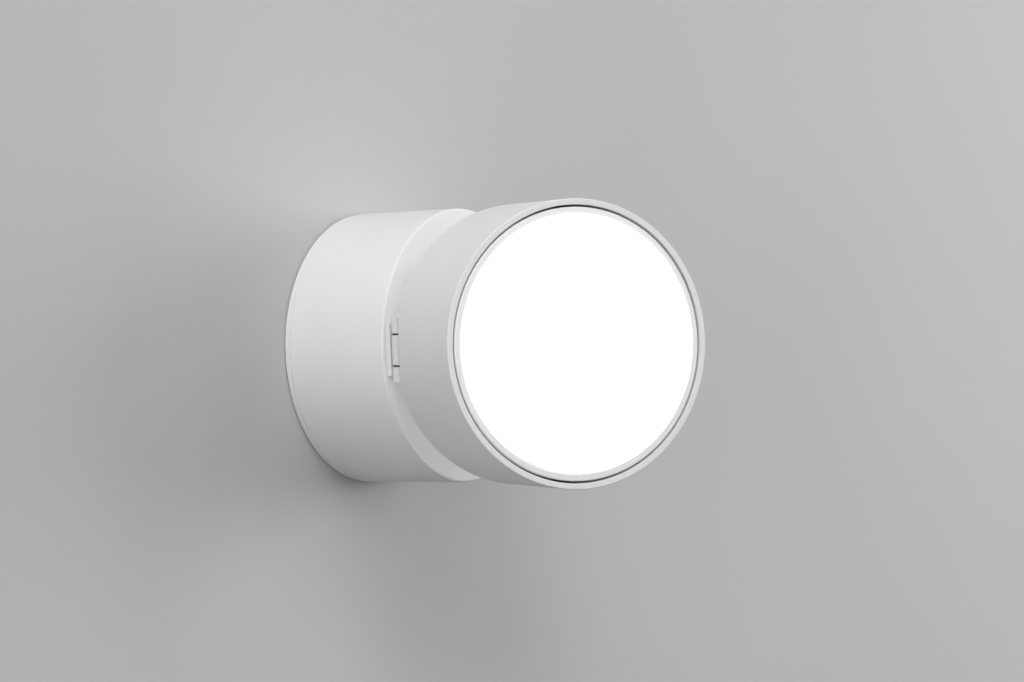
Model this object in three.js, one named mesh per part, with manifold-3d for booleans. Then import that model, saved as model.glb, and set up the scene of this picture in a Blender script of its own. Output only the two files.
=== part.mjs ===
// A white spotlight for a wall or a ceiling, made as two short drums of one diameter.
// The rear drum turns on a plate fixed to the wall, and the front drum, which holds the
// light, swings open on a small three-knuckle hinge at the left edge.
// Lengths are millimetres. The wall is the plane y = 0, forward is -Y and up is +Z.
import * as THREE from 'three';
import { mergeVertices } from 'three/addons/utils/BufferGeometryUtils.js';
import Module from 'manifold-3d';

const wasm = await Module();
wasm.setup();

// Whole lamp
const bodyRadius = 47.5;
const baseLength = 41.6;
const headLength = 42.3;
const closedGap = 7.5;
const openDegrees = 29.6;
const tubeWall = 2;
const frontWall = 3;
const edgeRound = 0.8;
const rimRound = 0.35;

// Clearances and overruns
const seatGap = 0.3;
const runGap = 0.15;
const threadGap = 0.1;
const cutOver = 1;
const joinDepth = 0.5;

// Facets
const drumSides = 80;
const innerSides = 36;
const screwSides = 12;
const hexSides = 6;
const barrelSteps = 14;
const cornerSteps = 2;

// Wall plate and the turning pivot at its centre
const wallPlateThickness = 2;
const wallPlateStep = 0.2;
const wallPlateBevel = 0.4;
const seamGap = 0.4;
const wallSlotSpacing = 60;
const wallSlotWidth = 4.5;
const wallSlotLength = 10;
const sleeveRadius = 8.5;
const sleeveBoreRadius = 6.5;
const sleeveLength = 11.5;
const collarWidth = 3.5;
const collarHeight = 1.8;
const springWidth = 4.5;
const springThickness = 0.6;
const springRise = 0.5;
const nutFlatWidth = 24;
const nutThickness = 3;
const stopRadius = 25;
const stopPinRadius = 0.9;
const stopPinHeight = 1.4;
const stopLugWidth = 1.8;
const stopLugDepth = 1.4;

// Swivel plate with its two upright tabs
const swivelThickness = 1.5;
const tabWidth = 12;
const tabLength = 9.5;
const tabThickness = 1.6;
const accessRadius = 5;
const grubRadius = 1.5;
const grubLength = 5;
const grubRecess = 0.5;
const grubForward = 10;
const socketRadius = 0.85;
const socketDepth = 1.4;

// Mains terminal block and earth screw on the swivel plate
const terminalWidth = 28;
const terminalDepth = 11;
const terminalHeight = 12;
const terminalRight = 26;
const terminalPoles = 3;
const terminalBoreRadius = 1.6;
const releaseWidth = 3;
const releaseHeight = 6;
const releaseDepth = 2;
const earthInset = 13.5;
const panRadius = 3;
const panHeight = 2;
const shankRadius = 1.5;

// Power supply behind the base drum's front wall
const driverMargin = 5.5;
const driverHeight = 32;
const driverClearance = 2.4;
const driverWall = 1.5;
const driverLidThickness = 1.5;
const driverEarLength = 8;
const driverEarHeight = 12;
const driverScrewDepth = 1.8;
const boardThickness = 1.6;
const boardMargin = 0.5;
const transformerWidth = 20;
const transformerHeight = 17;
const transformerMargin = 3.3;
const capacitorRadius = 4.5;
const capacitorStep = 1;
const capacitorMargin = 6;
const capacitorSpread = 14;

// Rubber grommets where the lead crosses from drum to drum
const grommetInset = 15;
const grommetClearance = 2;
const grommetBoreRadius = 1.9;
const grommetNeckRadius = 3.6;
const grommetFlangeRadius = 5;
const grommetFlange = 1.2;

// Hinge
const hingeInset = 3.4;
const barrelRadius = 2;
const pinRadius = 1;
const middleKnuckle = 9.9;
const outerKnuckle = 5;
const knuckleSlit = 0.7;
const frictionWasherThickness = 0.5;
const frictionWasherStep = 0.3;
const leafThickness = 1.5;
const leafLength = 15;
const leafEdgeInset = 1;
const baseLeafHeight = 17.2;
const baseLeafLip = 1.2;
const reliefDepth = 4.6;
const reliefInset = 2.6;
const reliefMargin = 0.4;
const gussetLength = 5;
const leafScrewPlace = 9;
const leafScrewSpread = 10.8;
const stopPadLength = 2;
const stopPadHeight = 8;
const countersinkRadius = 2.8;
const countersinkDepth = 1.3;
const leafScrewLength = 4;
const crossWidth = 0.7;
const crossDepth = 0.6;

// Heat sink, light board and optics in the head
const sinkThickness = 3;
const hubRadius = 14;
const finCount = 12;
const finThickness = 1.6;
const finMargin = 2;
const sinkScrewCircle = 9;
const sinkScrewCount = 3;
const sinkScrewLength = 9;
const padThickness = 0.5;
const lightBoardThickness = 1.6;
const lightBoardMargin = 4.5;
const boardScrewCount = 3;
const ledMargin = 7.6;
const ledRings = 4;
const ledRingStart = 6;
const ledSize = 3;
const ledHeight = 0.7;
const connectorWidth = 7;
const connectorDepth = 3;
const connectorHeight = 4;
const connectorMargin = 3;
const reflectorDepth = 14;
const reflectorFloor = 1.2;
const reflectorFloorWidth = 2.2;
const grooveWidth = 0.7;
const frameWall = 1.3;
const frameLip = 2.05;
const frameLipThickness = 1.2;
const frameSetback = 0.2;
const frameRound = 0.5;
const diffuserRise = 0.6;
const diffuserThickness = 1.8;
const diffuserFlange = 1.3;
const diffuserFlangeWidth = 2;
const diffuserRound = 0.4;
const diffuserFit = 0.2;

// Places that follow from the sizes above, from the wall forward
const shellInnerRadius = bodyRadius - tubeWall;
const shellRear = wallPlateThickness + seamGap;
const swivelRear = wallPlateThickness + collarHeight + threadGap;
const swivelFront = swivelRear + swivelThickness;
const swivelRadius = shellInnerRadius - seatGap;
const earthPlace = (bodyRadius - earthInset) * Math.SQRT1_2;
const frontWallInside = baseLength - frontWall;
const driverWidth = 2 * (shellInnerRadius - driverMargin - driverEarLength);
const driverLidFront = frontWallInside - seatGap;
const driverLidRear = driverLidFront - driverLidThickness;
const driverCaseRear = swivelFront + terminalDepth + driverClearance;
const driverDepth = driverLidRear - driverCaseRear;
const boardRear = driverLidRear - seatGap - boardThickness;
const transformerDepth = boardRear - seatGap - transformerMargin - driverCaseRear - driverWall;
const capacitorDepth = transformerDepth - capacitorStep;
const capacitorPlace = driverWidth / 2 - driverWall - capacitorMargin - capacitorRadius;
const grommetUp = driverHeight / 2 + grommetFlangeRadius + grommetClearance;
const grommetLeft = Math.sqrt((bodyRadius - grommetInset) ** 2 - grommetUp ** 2);
const grommetPlace = [-grommetLeft, grommetUp];
const pinForward = closedGap / 2;
const hingeHeight = middleKnuckle + 2 * knuckleSlit + 2 * outerKnuckle;
const leafSurface = pinForward - leafThickness;

// Places in the head, from its front edge back
const frameRadius = shellInnerRadius - grooveWidth;
const frameFront = headLength - frameSetback;
const frameInside = frameRadius - frameWall;
const windowRadius = frameRadius - frameLip;
const diffuserFront = headLength + diffuserRise;
const flangeFront = frameFront - frameLipThickness - seatGap;
const flangeRear = flangeFront - diffuserFlange;
const flangeRadius = frameInside - seatGap;
const lightBoardFront = flangeRear - 2 * seatGap - reflectorDepth;
const lightBoardRear = lightBoardFront - lightBoardThickness;
const padFront = lightBoardRear - seatGap;
const sinkFront = padFront - padThickness - seatGap;
const sinkForward = sinkFront - sinkThickness;
const lightBoardRadius = frameInside - lightBoardMargin;
const reflectorBase = lightBoardRadius + reflectorFloorWidth / 2;
const boardScrewCircle = reflectorBase - reflectorFloorWidth - panRadius - seatGap;
const ledRingSpacing = (boardScrewCircle - panRadius - ledMargin) / (ledRings - 1);

// Finishes
function finish(color, roughness, metalness) {
  return new THREE.MeshStandardMaterial({ color, roughness, metalness });
}

const whitePaint = finish(0xe4e6e5, 0.5, 0);
const zincSteel = finish(0xb4b6b8, 0.4, 0.9);
const blackSteel = finish(0x33353a, 0.5, 0.8);
const bareAluminium = finish(0xc3c6c9, 0.45, 0.85);
const whitePlastic = finish(0xeeeeea, 0.45, 0);
const blackPlastic = finish(0x26272a, 0.6, 0);
const greyRubber = finish(0xbfc1c0, 0.85, 0);
const greenBoard = finish(0x2f6b46, 0.6, 0);
const whiteBoard = finish(0xf2f2ee, 0.5, 0);
const brownFerrite = finish(0x4a3f3a, 0.7, 0);
const greyPad = finish(0x8c8f94, 0.9, 0);
const opalPlastic = finish(0xfdfdfa, 0.35, 0);

// A closed geometry as a solid that can be joined and cut
function solidFrom(geometry) {
  geometry.deleteAttribute('normal');
  geometry.deleteAttribute('uv');
  const welded = mergeVertices(geometry);
  const points = welded.attributes.position;
  const corners = welded.index.array;
  const a = new THREE.Vector3();
  const b = new THREE.Vector3();
  const c = new THREE.Vector3();
  const faces = [];
  let volume = 0;
  for (let i = 0; i < corners.length; i += 3) {
    const [p, q, r] = [corners[i], corners[i + 1], corners[i + 2]];
    if (p !== q && q !== r && r !== p) {
      faces.push([p, q, r]);
      a.fromBufferAttribute(points, p);
      b.fromBufferAttribute(points, q);
      c.fromBufferAttribute(points, r);
      volume += a.dot(b.cross(c));
    }
  }
  const outward = volume > 0 ? faces : faces.map((face) => face.reverse());
  const triVerts = Uint32Array.from(outward.flat());
  return new wasm.Manifold(new wasm.Mesh({ numProp: 3, vertProperties: points.array, triVerts }));
}

// A named mesh of a solid
function part(name, material, solid) {
  const { vertProperties, triVerts } = solid.getMesh();
  const geometry = new THREE.BufferGeometry();
  geometry.setAttribute('position', new THREE.BufferAttribute(vertProperties, 3));
  geometry.setIndex(new THREE.BufferAttribute(triVerts, 1));
  geometry.computeVertexNormals();
  const mesh = new THREE.Mesh(geometry, material);
  mesh.name = name;
  return mesh;
}

// A turned piece about the drum axis; its outline is a list of [radius, forward]
function turned(outline, sides, x = 0, z = 0) {
  const profile = outline.map(([radius, forward]) => new THREE.Vector2(radius, -forward));
  return solidFrom(new THREE.LatheGeometry(profile, sides).translate(x, 0, z));
}

// A turned piece with an open bore, whose outline closes on itself
function turnedRing(outline, sides, x = 0, z = 0) {
  return turned([...outline, outline[0]], sides, x, z);
}

// A quarter round of an outline, from one quarter turn to the next
function quarterRound(radius, forward, size, quarter) {
  const points = [];
  for (let step = 0; step <= cornerSteps; step += 1) {
    const angle = (quarter + step / cornerSteps) * Math.PI / 2;
    points.push([radius + size * Math.cos(angle), forward + size * Math.sin(angle)]);
  }
  return points;
}

// A cylinder along the drum axis, between two distances forward
function cylinder(radius, rear, front, sides, x = 0, z = 0) {
  const geometry = new THREE.CylinderGeometry(radius, radius, front - rear, sides);
  return solidFrom(geometry.translate(x, -(rear + front) / 2, z));
}

// A cylinder along Z, between two heights
function upright(radius, low, high, sides, x = 0, forward = 0) {
  const geometry = new THREE.CylinderGeometry(radius, radius, high - low, sides);
  return solidFrom(geometry.rotateX(Math.PI / 2).translate(x, -forward, (low + high) / 2));
}

// A cylinder along X, between two places across
function crosswise(radius, left, right, sides, forward, z) {
  const geometry = new THREE.CylinderGeometry(radius, radius, right - left, sides);
  return solidFrom(geometry.rotateZ(Math.PI / 2).translate((left + right) / 2, -forward, z));
}

// A block between two corners, each [x, forward, z]
function block(low, high) {
  const size = high.map((value, axis) => value - low[axis]);
  const centre = high.map((value, axis) => (value + low[axis]) / 2);
  const geometry = new THREE.BoxGeometry(size[0], size[1], size[2]);
  return solidFrom(geometry.translate(centre[0], -centre[1], centre[2]));
}

// Places round a circle, the first one straight up
function aroundCircle(radius, count) {
  return Array.from({ length: count }, (_, index) => {
    const angle = index / count * 2 * Math.PI;
    return [radius * Math.sin(angle), radius * Math.cos(angle)];
  });
}

const joined = (solids) => solids.reduce((whole, piece) => whole.add(piece));
const inOrder = (one, other) => [Math.min(one, other), Math.max(one, other)];

// A countersunk screw with its flat head at the given distance. Its tip points forward
// where direction is 1 and rearward where it is -1.
function countersunkScrew(headAt, direction, length, x, z) {
  const headRadius = countersinkRadius - threadGap;
  const outline = [
    [0, headAt],
    [headRadius, headAt],
    [shankRadius, headAt + direction * countersinkDepth],
    [shankRadius, headAt + direction * length],
    [0, headAt + direction * length],
  ];
  const half = crossWidth / 2;
  const reach = headRadius / 2;
  const ends = inOrder(headAt - direction * cutOver, headAt + direction * crossDepth);
  const slotAcross = block([x - reach, ends[0], z - half], [x + reach, ends[1], z + half]);
  const slotUp = block([x - half, ends[0], z - reach], [x + half, ends[1], z + reach]);
  return turned(outline, screwSides, x, z).subtract(slotAcross).subtract(slotUp);
}

// The room that a countersunk screw needs in the piece that it holds
function countersunkHole(headAt, direction, length, x, z) {
  const outline = [
    [0, headAt - direction * cutOver],
    [countersinkRadius, headAt - direction * cutOver],
    [countersinkRadius, headAt],
    [shankRadius + threadGap, headAt + direction * countersinkDepth],
    [shankRadius + threadGap, headAt + direction * (length + seatGap)],
    [0, headAt + direction * (length + seatGap)],
  ];
  return turned(outline, screwSides, x, z);
}

// A pan-head screw: its head stands rearward of the face that it clamps
function panScrew(faceAt, length, x, z) {
  const outline = [
    [0, faceAt - panHeight],
    [panRadius - edgeRound, faceAt - panHeight],
    [panRadius, faceAt - panHeight + edgeRound],
    [panRadius, faceAt],
    [shankRadius, faceAt],
    [shankRadius, faceAt + length],
    [0, faceAt + length],
  ];
  return turned(outline, screwSides, x, z);
}

// A slot for a wall screw
function screwSlot(rear, front, z) {
  const radius = wallSlotWidth / 2;
  const reach = (wallSlotLength - wallSlotWidth) / 2;
  const left = cylinder(radius, rear, front, screwSides, -reach, z);
  const right = cylinder(radius, rear, front, screwSides, reach, z);
  return left.add(right).add(block([-reach, rear, z - radius], [reach, front, z + radius]));
}

function wallPlate() {
  const radius = bodyRadius - wallPlateStep;
  const plate = turnedRing([
    [sleeveRadius + threadGap, 0],
    [radius, 0],
    [radius, wallPlateThickness - wallPlateBevel],
    [radius - wallPlateBevel, wallPlateThickness],
    [sleeveRadius + threadGap, wallPlateThickness],
  ], drumSides);
  const slotEnds = [-cutOver, wallPlateThickness + cutOver];
  const slots = [-1, 1].map((side) => screwSlot(...slotEnds, side * wallSlotSpacing / 2));
  const pinEnds = [wallPlateThickness - joinDepth, wallPlateThickness + stopPinHeight];
  const stopPin = cylinder(stopPinRadius, ...pinEnds, screwSides, stopRadius);
  return plate.subtract(joined(slots)).add(stopPin);
}

// The hollow pivot that the mains cable comes through
function pivotSleeve() {
  const collarRadius = sleeveRadius + collarWidth;
  const collarFront = wallPlateThickness + collarHeight;
  return turnedRing([
    [sleeveBoreRadius, 0],
    [sleeveRadius, 0],
    [sleeveRadius, wallPlateThickness],
    [collarRadius, wallPlateThickness],
    [collarRadius, collarFront],
    [sleeveRadius, collarFront],
    [sleeveRadius, sleeveLength],
    [sleeveBoreRadius, sleeveLength],
  ], innerSides);
}

// A slightly conical spring washer that gives the swivel its friction
function discSpring() {
  const inner = sleeveRadius + runGap;
  const outer = inner + springWidth;
  const rear = swivelFront + threadGap;
  return turnedRing([
    [inner, rear + springRise],
    [outer, rear],
    [outer, rear + springThickness],
    [inner, rear + springRise + springThickness],
  ], innerSides);
}

function pivotNut() {
  const rear = swivelFront + threadGap + springRise + springThickness + threadGap;
  const cornerRadius = nutFlatWidth / 2 / Math.cos(Math.PI / hexSides);
  const hexagon = cylinder(cornerRadius, rear, rear + nutThickness, hexSides);
  const bore = cylinder(sleeveRadius + threadGap, rear - cutOver, rear + nutThickness + cutOver, innerSides);
  return hexagon.subtract(bore);
}

// The plate that turns on the pivot, with a stop lug and two tabs for the drum's side screws
function swivelPlate() {
  const plate = turnedRing([
    [sleeveRadius + runGap, swivelRear],
    [swivelRadius, swivelRear],
    [swivelRadius, swivelFront],
    [sleeveRadius + runGap, swivelFront],
  ], innerSides);
  const reach = cylinder(swivelRadius, swivelRear, swivelRear + tabLength, innerSides);
  const tabs = [-1, 1].map((side) => {
    const ends = inOrder(side * (swivelRadius - tabThickness), side * swivelRadius);
    const low = [-tabWidth / 2, swivelRear, ends[0]];
    const high = [tabWidth / 2, swivelRear + tabLength, ends[1]];
    return block(low, high).intersect(reach);
  });
  const holeRadius = grubRadius + threadGap;
  const grubHole = upright(holeRadius, -bodyRadius, bodyRadius, screwSides, 0, grubForward);
  const access = [-1, 1].map((side) => {
    const z = side * wallSlotSpacing / 2;
    return cylinder(accessRadius, swivelRear - cutOver, swivelFront + cutOver, screwSides, 0, z);
  });
  const earthEnds = [swivelRear - cutOver, swivelFront + cutOver];
  const earthHole = cylinder(shankRadius + threadGap, ...earthEnds, screwSides, earthPlace, earthPlace);
  const halfLug = stopLugWidth / 2;
  const lugLow = [-stopRadius - halfLug, swivelRear - stopLugDepth, -halfLug];
  const lugHigh = [-stopRadius + halfLug, swivelRear + joinDepth, halfLug];
  const cuts = joined([grubHole, earthHole, ...access]);
  return joined([plate, ...tabs]).subtract(cuts).add(block(lugLow, lugHigh));
}

function baseShell() {
  const shell = turned([
    [0, frontWallInside],
    [shellInnerRadius, frontWallInside],
    [shellInnerRadius, shellRear],
    [bodyRadius - rimRound, shellRear],
    [bodyRadius, shellRear + rimRound],
    ...quarterRound(bodyRadius - edgeRound, baseLength - edgeRound, edgeRound, 0),
    [0, baseLength],
  ], drumSides);
  const grubReach = bodyRadius + cutOver;
  const grubHole = upright(grubRadius + threadGap, -grubReach, grubReach, screwSides, 0, grubForward);
  const holeEnds = [frontWallInside - cutOver, baseLength + cutOver];
  const leadHole = cylinder(grommetNeckRadius + seatGap, ...holeEnds, screwSides, ...grommetPlace);
  const driverHoles = driverScrewPlaces().map((x) => {
    const ends = [frontWallInside - cutOver, frontWallInside + driverScrewDepth + seatGap];
    return cylinder(shankRadius + threadGap, ...ends, screwSides, x, 0);
  });
  const pinX = hingeInset - bodyRadius;
  const leafHoles = leafScrewHeights().map((z) => {
    const ends = [frontWallInside - cutOver, baseLength + cutOver];
    return cylinder(shankRadius + threadGap, ...ends, screwSides, pinX + leafScrewPlace, z);
  });
  return shell.subtract(joined([grubHole, leadHole, ...driverHoles, ...leafHoles]));
}

// A screw that holds the drum on one of the swivel plate's tabs, above or below
function grubScrew(side) {
  const outer = bodyRadius - grubRecess;
  const bodyEnds = inOrder(side * (outer - grubLength), side * outer);
  const socketEnds = inOrder(side * (outer - socketDepth), side * (outer + cutOver));
  const body = upright(grubRadius, ...bodyEnds, screwSides, 0, grubForward);
  return body.subtract(upright(socketRadius, ...socketEnds, hexSides, 0, grubForward));
}

// A push-in terminal block: wire entries on both long sides, release slots in its front
function terminalBlock() {
  const front = swivelFront + terminalDepth;
  const [left, right] = [terminalRight - terminalHeight / 2, terminalRight + terminalHeight / 2];
  const wireForward = swivelFront + terminalDepth / 2;
  const cuts = Array.from({ length: terminalPoles }, (_, pole) => {
    const z = ((pole + 1 / 2) / terminalPoles - 1 / 2) * terminalWidth;
    const wire = crosswise(terminalBoreRadius, left - cutOver, right + cutOver, screwSides, wireForward, z);
    const release = block(
      [terminalRight - releaseHeight / 2, front - releaseDepth, z - releaseWidth / 2],
      [terminalRight + releaseHeight / 2, front + cutOver, z + releaseWidth / 2],
    );
    return wire.add(release);
  });
  const halfWidth = terminalWidth / 2;
  return block([left, swivelFront, -halfWidth], [right, front, halfWidth]).subtract(joined(cuts));
}

// The earth screw, whose head faces the inside of the drum
function earthScrew() {
  const outline = [
    [0, swivelRear],
    [shankRadius, swivelRear],
    [shankRadius, swivelFront],
    [panRadius, swivelFront],
    [panRadius, swivelFront + panHeight - edgeRound],
    [panRadius - edgeRound, swivelFront + panHeight],
    [0, swivelFront + panHeight],
  ];
  return turned(outline, screwSides, earthPlace, earthPlace);
}

function driverScrewPlaces() {
  const place = driverWidth / 2 + driverEarLength / 2;
  return [-place, place];
}

function driverCase() {
  const halfWidth = driverWidth / 2;
  const halfHeight = driverHeight / 2;
  const outer = block([-halfWidth, driverCaseRear, -halfHeight], [halfWidth, driverLidRear, halfHeight]);
  const low = [driverWall - halfWidth, driverCaseRear + driverWall, driverWall - halfHeight];
  const high = [halfWidth - driverWall, driverLidRear + cutOver, halfHeight - driverWall];
  const slotZ = driverHeight / 4;
  const leadSlot = block(
    [-halfWidth - cutOver, driverCaseRear + driverDepth / 2, -slotZ],
    [halfWidth + cutOver, driverCaseRear + driverDepth / 2 + driverWall * 2, slotZ],
  );
  return outer.subtract(block(low, high)).subtract(leadSlot);
}

function driverLid() {
  const halfWidth = driverWidth / 2;
  const halfHeight = driverHeight / 2;
  const halfEar = driverEarHeight / 2;
  const earReach = halfWidth + driverEarLength;
  const plate = block([-halfWidth, driverLidRear, -halfHeight], [halfWidth, driverLidFront, halfHeight]);
  const ears = block([-earReach, driverLidRear, -halfEar], [earReach, driverLidFront, halfEar]);
  const holes = driverScrewPlaces().map((x) => (
    cylinder(shankRadius + threadGap, driverLidRear - cutOver, driverLidFront + cutOver, screwSides, x, 0)
  ));
  return plate.add(ears).subtract(joined(holes));
}

function driverScrew(x) {
  return panScrew(driverLidRear, driverLidThickness + seatGap + driverScrewDepth, x, 0);
}

function driverBoard() {
  const halfWidth = driverWidth / 2 - driverWall - boardMargin;
  const halfHeight = driverHeight / 2 - driverWall - boardMargin;
  return block([-halfWidth, boardRear, -halfHeight], [halfWidth, boardRear + boardThickness, halfHeight]);
}

// A ferrite core with its winding standing out on both sides
function driverTransformer() {
  const front = boardRear - seatGap;
  const rear = front - transformerDepth;
  const halfWidth = transformerWidth / 2;
  const halfHeight = transformerHeight / 2;
  const core = block([-halfWidth, rear, -halfHeight / 2], [halfWidth, front, halfHeight / 2]);
  const middle = (rear + front) / 2;
  return core.add(upright(transformerDepth / 2, -halfHeight, halfHeight, screwSides, 0, middle));
}

function driverCapacitor(side) {
  const front = boardRear - seatGap;
  const z = side * capacitorSpread / 2;
  return cylinder(capacitorRadius, front - capacitorDepth, front, screwSides, capacitorPlace, z);
}

// A grommet in a wall of the given thickness, with a flange on each side
function grommet(wallRear, wallFront) {
  const rear = wallRear - seatGap / 2;
  const front = wallFront + seatGap / 2;
  return turnedRing([
    [grommetBoreRadius, rear - grommetFlange],
    [grommetFlangeRadius - edgeRound, rear - grommetFlange],
    [grommetFlangeRadius, rear],
    [grommetNeckRadius, rear],
    [grommetNeckRadius, front],
    [grommetFlangeRadius, front],
    [grommetFlangeRadius - edgeRound, front + grommetFlange],
    [grommetBoreRadius, front + grommetFlange],
  ], screwSides, ...grommetPlace);
}

function leafScrewHeights() {
  return [-leafScrewSpread / 2, leafScrewSpread / 2];
}

// A knuckle between two heights, in the hinge's own frame with the pin at its origin.
// The barrel runs out of a neck that stands on a leaf, on the side that towards gives.
function knuckle(low, high, towards) {
  const neckStart = Math.asin(Math.sqrt(barrelRadius ** 2 - leafEdgeInset ** 2) / barrelRadius);
  const neckEnd = Math.PI * 7 / 4;
  const foot = leafSurface + leafThickness / 2;
  const outline = [[leafEdgeInset, foot]];
  for (let step = 0; step <= barrelSteps; step += 1) {
    const angle = neckStart + (neckEnd - neckStart) * step / barrelSteps;
    outline.push([barrelRadius * Math.cos(angle), barrelRadius * Math.sin(angle)]);
  }
  outline.push([gussetLength, leafSurface]);
  outline.push([gussetLength, foot]);
  const shape = new THREE.Shape(outline.map(([x, y]) => new THREE.Vector2(x, y * towards)));
  const geometry = new THREE.ExtrudeGeometry(shape, { depth: high - low, bevelEnabled: false });
  return solidFrom(geometry.translate(0, 0, low));
}

// A leaf of the hinge, on the wall side of the pin or, with towards -1, on the other
function leaf(height, towards, start) {
  const faces = inOrder(-towards * leafSurface, -towards * pinForward);
  return block([start, faces[0], -height / 2], [leafLength, faces[1], height / 2]);
}

function leafScrewHoles(towards) {
  const headAt = -towards * leafSurface;
  return joined(leafScrewHeights().map((z) => (
    countersunkHole(headAt, -towards, leafScrewLength, leafScrewPlace, z)
  )));
}

function leafScrew(towards, z) {
  return countersunkScrew(-towards * leafSurface, -towards, leafScrewLength, leafScrewPlace, z);
}

const pinBore = upright(pinRadius + runGap, -hingeHeight, hingeHeight, screwSides);

// The fixed leaf: one middle knuckle, and a pad that stops the head when it is closed
function hingeBaseLeaf() {
  const half = middleKnuckle / 2;
  const stopPad = block(
    [leafLength - stopPadLength, -leafSurface - leafThickness / 2, -stopPadHeight / 2],
    [leafLength, leafSurface - runGap, stopPadHeight / 2],
  );
  const plate = leaf(baseLeafHeight, 1, -baseLeafLip);
  const solid = joined([plate, knuckle(-half, half, 1), stopPad]);
  return solid.subtract(leafScrewHoles(1)).subtract(pinBore);
}

// The moving leaf, with a knuckle above and below the middle one
function hingeHeadLeaf() {
  const inner = middleKnuckle / 2 + knuckleSlit;
  const outer = hingeHeight / 2;
  const plate = leaf(hingeHeight, -1, leafEdgeInset);
  const solid = joined([plate, knuckle(inner, outer, -1), knuckle(-outer, -inner, -1)]);
  return solid.subtract(leafScrewHoles(-1)).subtract(pinBore);
}

function hingePin() {
  return upright(pinRadius, -hingeHeight / 2, hingeHeight / 2, screwSides);
}

// A thin washer in a slit between two knuckles, which gives the hinge its friction
function hingeWasher(side) {
  const near = middleKnuckle / 2 + (knuckleSlit - frictionWasherThickness) / 2;
  const ends = inOrder(side * near, side * (near + frictionWasherThickness));
  return upright(barrelRadius - frictionWasherStep, ...ends, innerSides / 2).subtract(pinBore);
}

// A slanted relief across the head's rear edge, where the barrel shows and passes when open
function hingeRelief() {
  const rise = cutOver * reliefDepth / reliefInset;
  const outside = -bodyRadius - cutOver;
  const shape = new THREE.Shape([
    new THREE.Vector2(outside, -reliefDepth - rise),
    new THREE.Vector2(reliefInset - bodyRadius + cutOver, rise),
    new THREE.Vector2(outside, rise),
  ]);
  const height = hingeHeight + 2 * reliefMargin;
  const geometry = new THREE.ExtrudeGeometry(shape, { depth: height, bevelEnabled: false });
  return solidFrom(geometry.translate(0, 0, -height / 2));
}

// The head's parts are measured forward from the rear face of its drum
function headShell() {
  const shell = turned([
    [0, 0],
    ...quarterRound(bodyRadius - edgeRound, edgeRound, edgeRound, 3),
    ...quarterRound(bodyRadius - rimRound, headLength - rimRound, rimRound, 0),
    [shellInnerRadius, headLength],
    [shellInnerRadius, frontWall],
    [0, frontWall],
  ], drumSides);
  const ends = [-cutOver, frontWall + cutOver];
  const leadHole = cylinder(grommetNeckRadius + seatGap, ...ends, screwSides, ...grommetPlace);
  const leafHoles = leafScrewHeights().map((z) => (
    cylinder(shankRadius + threadGap, ...ends, screwSides, hingeInset - bodyRadius + leafScrewPlace, z)
  ));
  const screwHoles = sinkScrewPlaces().map(([x, z]) => countersunkHole(0, 1, frontWall + cutOver, x, z));
  return shell.subtract(joined([leadHole, ...leafHoles, ...screwHoles, hingeRelief()]));
}

function ledPlaces() {
  const places = [[0, 0]];
  for (let ring = 1; ring < ledRings; ring += 1) {
    places.push(...aroundCircle(ring * ledRingSpacing, ring * ledRingStart));
  }
  return places;
}

function sinkScrewPlaces() {
  return aroundCircle(sinkScrewCircle, sinkScrewCount);
}

function boardScrewPlaces() {
  return aroundCircle(boardScrewCircle, boardScrewCount);
}

// A round plate with a hub and radial fins, which carries the light board
function heatSink() {
  const rear = frontWall + seatGap;
  const radius = shellInnerRadius - seatGap;
  const plate = cylinder(radius, sinkForward, sinkFront, innerSides);
  const hub = cylinder(hubRadius, rear, sinkForward + joinDepth, innerSides);
  const fins = Array.from({ length: finCount }, (_, index) => {
    const inner = hubRadius - joinDepth * 2;
    const outer = radius - finMargin;
    const geometry = new THREE.BoxGeometry(outer - inner, sinkForward + joinDepth - rear, finThickness);
    geometry.translate((outer + inner) / 2, -(sinkForward + joinDepth + rear) / 2, 0);
    return solidFrom(geometry.rotateY((index + 1 / 2) / finCount * 2 * Math.PI));
  });
  const rearHoles = sinkScrewPlaces().map(([x, z]) => (
    cylinder(shankRadius + threadGap, rear - cutOver, sinkScrewLength + seatGap, screwSides, x, z)
  ));
  const frontHoles = boardScrewPlaces().map(([x, z]) => (
    cylinder(shankRadius + threadGap, sinkForward - cutOver, sinkFront + cutOver, screwSides, x, z)
  ));
  const leadEnds = [sinkForward - cutOver, sinkFront + cutOver];
  const leadHole = cylinder(grommetNeckRadius, ...leadEnds, screwSides, ...grommetPlace);
  const roomRadius = grommetFlangeRadius + seatGap;
  const leadRoom = cylinder(roomRadius, rear - cutOver, sinkForward, screwSides, ...grommetPlace);
  return joined([plate, hub, ...fins]).subtract(joined([...rearHoles, ...frontHoles, leadHole, leadRoom]));
}

function heatSinkScrew([x, z]) {
  return countersunkScrew(0, 1, sinkScrewLength, x, z);
}

function thermalPad() {
  const holes = boardScrewPlaces().map(([x, z]) => (
    cylinder(shankRadius + runGap, sinkFront, padFront + cutOver, screwSides, x, z)
  ));
  const leadHole = cylinder(grommetNeckRadius, sinkFront, padFront + cutOver, screwSides, ...grommetPlace);
  const pad = cylinder(lightBoardRadius, sinkFront + seatGap, padFront, innerSides);
  return pad.subtract(joined([leadHole, ...holes]));
}

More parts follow.
